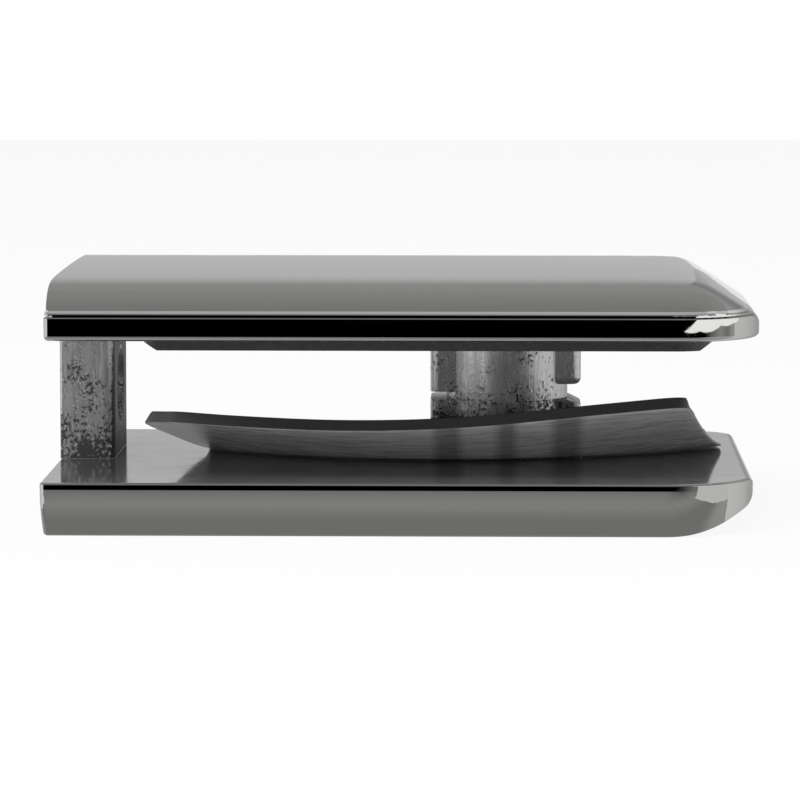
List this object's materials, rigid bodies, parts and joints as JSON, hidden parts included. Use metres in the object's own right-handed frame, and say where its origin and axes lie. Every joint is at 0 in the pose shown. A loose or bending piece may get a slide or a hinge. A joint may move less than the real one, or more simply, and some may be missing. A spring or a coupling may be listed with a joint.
{
  "type": "glass panel clamp",
  "caption": "Two-plate clamp that holds a glass panel by its edge, with an upright post for a wall screw, a stepped boss, rubber gaskets and one countersunk clamp screw.",
  "frame": {"origin": "centre of the post's screw hole, on the flat mounting face", "axes": "+X from the mounting face to the glass end, +Z from the base casting to the cover casting, -Y towards the side seen in the picture"},
  "size_m": [0.0635, 0.045, 0.0223],
  "materials": {
    "plated_zinc": "polished dark plating",
    "black_rubber": "semi-gloss skin",
    "plated_steel": "bright zinc"
  },
  "bodies": {
    "base": {"base_shell": "plated_zinc", "base_gasket": "black_rubber"},
    "cover": {"cover_shell": "plated_zinc", "cover_gasket": "black_rubber"},
    "screw": {"clamp_screw": "plated_steel"}
  },
  "joints": [
    {"name": "cover_slide", "type": "slide", "parent": "base", "child": "cover", "axis": [0, 0, 1], "range_m": [0, 0.0025]},
    {"name": "screw_turn", "type": "hinge", "parent": "base", "child": "screw", "pos_m": [0.0409, 0, 0], "axis": [0, 0, 1], "range_deg": [-900, 0]}
  ],
  "couplings": [
    {"joint": "screw_turn", "follows": "cover_slide", "rad_per_m": -6283.2}
  ]
}
